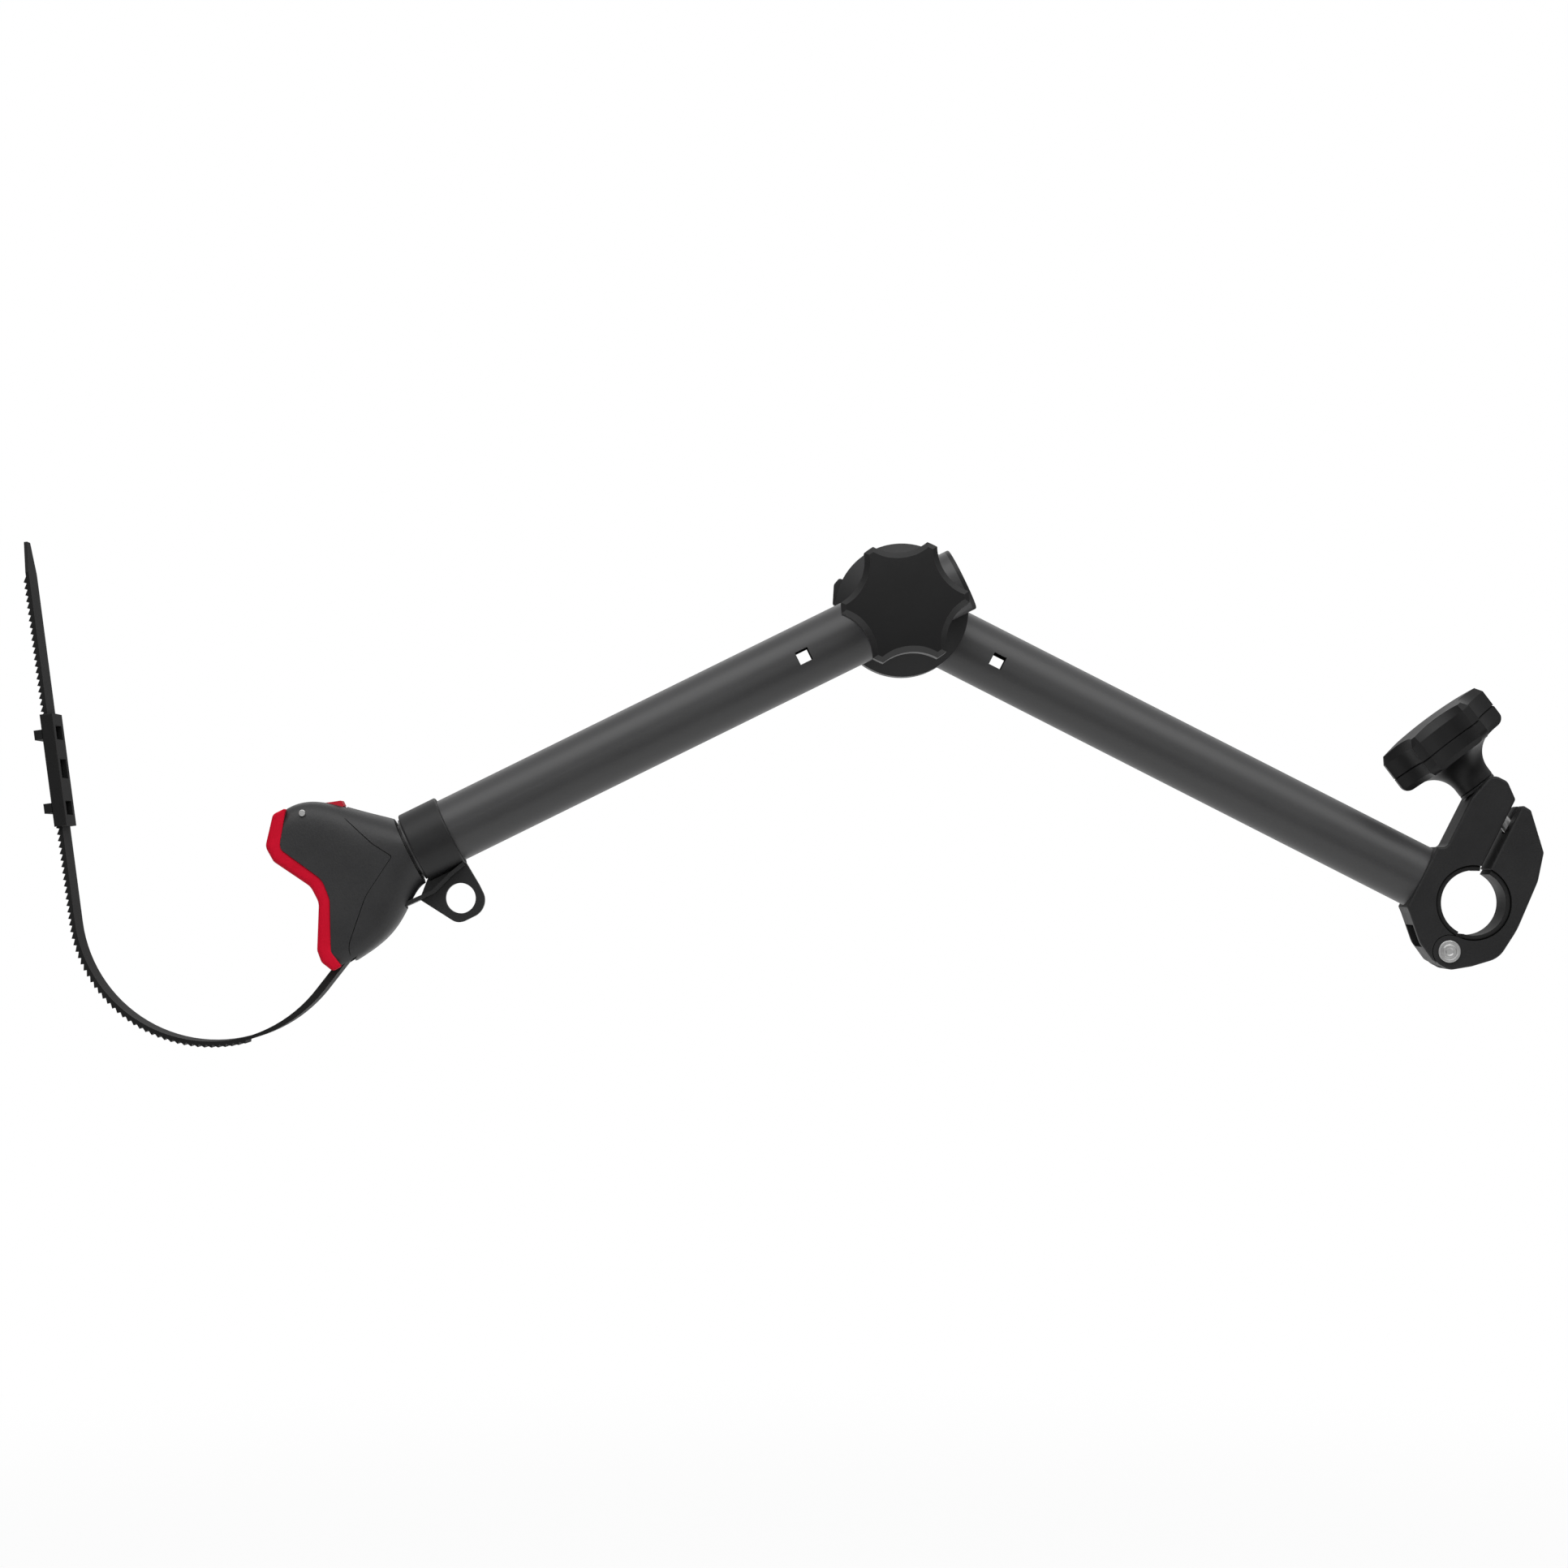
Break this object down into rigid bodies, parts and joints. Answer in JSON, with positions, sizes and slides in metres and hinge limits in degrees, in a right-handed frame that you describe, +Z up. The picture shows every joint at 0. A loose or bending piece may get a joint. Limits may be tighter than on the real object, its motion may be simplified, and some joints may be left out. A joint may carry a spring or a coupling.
{
  "type": "bicycle carrier frame holder arm",
  "caption": "Folding arm that holds a bicycle frame to a carrier's rail: hinged tube clamp, two round tubes on a knob-locked joint, soft V grip head with a ratchet strap.",
  "frame": {"origin": "centre of the rail clamp's bore, halfway along it", "axes": "+Y along the bore, from the pivot knob's side to the far side; +X from the grip head to the clamp; +Z up as drawn"},
  "size_m": [0.7056, 0.121, 0.2334],
  "materials": {
    "casting": "black powder coat, fine texture",
    "tube_coat": "satin dark grey powder coat",
    "zinc_steel": "bright zinc plated",
    "liner_rubber": "smooth black rubber",
    "knob_plastic": "moulded black plastic",
    "black_plastic": "moulded black plastic",
    "head_plastic": "fine textured black plastic",
    "red_rubber": "soft red rubber",
    "red_plastic": "red plastic",
    "strap_plastic": "black strap plastic",
    "brass": "plain brass"
  },
  "bodies": {
    "clamp_arm": {"clamp_body": "casting", "clamp_hinge_pin": "zinc_steel", "liner_fixed": "liner_rubber", "inner_tube": "tube_coat", "inner_tube_plug": "black_plastic", "rear_saddle": "black_plastic", "bolt_seat": "black_plastic", "pivot_bolt": "zinc_steel"},
    "clamp_jaw": {"clamp_jaw": "casting", "liner_moving": "liner_rubber"},
    "clamp_bolt": {"clamp_bolt": "zinc_steel", "clamp_trunnion": "zinc_steel"},
    "clamp_seat": {"clamp_seat_washer": "black_plastic"},
    "clamp_knob": {"clamp_knob_cap": "knob_plastic", "clamp_knob_base": "knob_plastic", "clamp_knob_insert": "brass"},
    "outer_arm": {"front_saddle": "black_plastic", "outer_tube": "tube_coat", "outer_tube_plug": "black_plastic", "knob_seat": "black_plastic", "collar": "black_plastic", "head_housing": "head_plastic", "head_cover": "head_plastic", "grip_pad": "red_rubber", "lever_pin": "zinc_steel", "strap_anchor_pin": "zinc_steel"},
    "pivot_knob": {"pivot_knob_cap": "knob_plastic", "pivot_knob_base": "knob_plastic", "pivot_knob_insert": "brass"},
    "release_lever": {"release_lever": "red_plastic"},
    "strap": {"ratchet_strap": "strap_plastic"},
    "strap_keeper": {"strap_keeper": "strap_plastic"}
  },
  "joints": [
    {"name": "arm_fold", "type": "hinge", "parent": "clamp_arm", "child": "outer_arm", "pos_m": [-0.2673, -0.019, 0.1362], "axis": [0, 1, 0], "range_deg": [-100, 140]},
    {"name": "pivot_knob_turn", "type": "hinge", "parent": "clamp_arm", "child": "pivot_knob", "pos_m": [-0.2673, -0.08, 0.1362], "axis": [0, 1, 0], "continuous": true},
    {"name": "jaw_open", "type": "hinge", "parent": "clamp_arm", "child": "clamp_jaw", "pos_m": [-0.01153, 0, -0.02263], "axis": [0, 1, 0], "range_deg": [0, 7.5]},
    {"name": "bolt_swing", "type": "hinge", "parent": "clamp_jaw", "child": "clamp_bolt", "pos_m": [0.02538, 0, 0.02646], "axis": [0, 1, 0], "range_deg": [0, 75]},
    {"name": "clamp_knob_travel", "type": "slide", "parent": "clamp_bolt", "child": "clamp_seat", "axis": [-0.6032, 0, 0.7976], "range_m": [0, 0.008]},
    {"name": "clamp_knob_turn", "type": "hinge", "parent": "clamp_seat", "child": "clamp_knob", "pos_m": [-0.01081, 0, 0.07432], "axis": [-0.6032, 0, 0.7976], "range_deg": [0, 2880]},
    {"name": "lever_press", "type": "hinge", "parent": "outer_arm", "child": "release_lever", "pos_m": [-0.54295, -0.038, 0.04158], "axis": [0, 1, 0], "range_deg": [0, 10], "stiffness_Nm_per_rad": 0.15, "springref_deg": -5.73},
    {"name": "strap_swing", "type": "hinge", "parent": "outer_arm", "child": "strap", "pos_m": [-0.51215, -0.038, -0.01036], "axis": [0, 1, 0], "range_deg": [-5, 5]},
    {"name": "keeper_slide", "type": "slide", "parent": "strap", "child": "strap_keeper", "axis": [-0.134, 0, 0.991], "range_m": [-0.035, 0.06]}
  ],
  "couplings": [
    {"joint": "clamp_knob_travel", "follows": "clamp_knob_turn", "m_per_rad": 0.000159},
    {"joint": "jaw_open", "follows": "clamp_knob_turn", "ratio": 0.0026042}
  ]
}
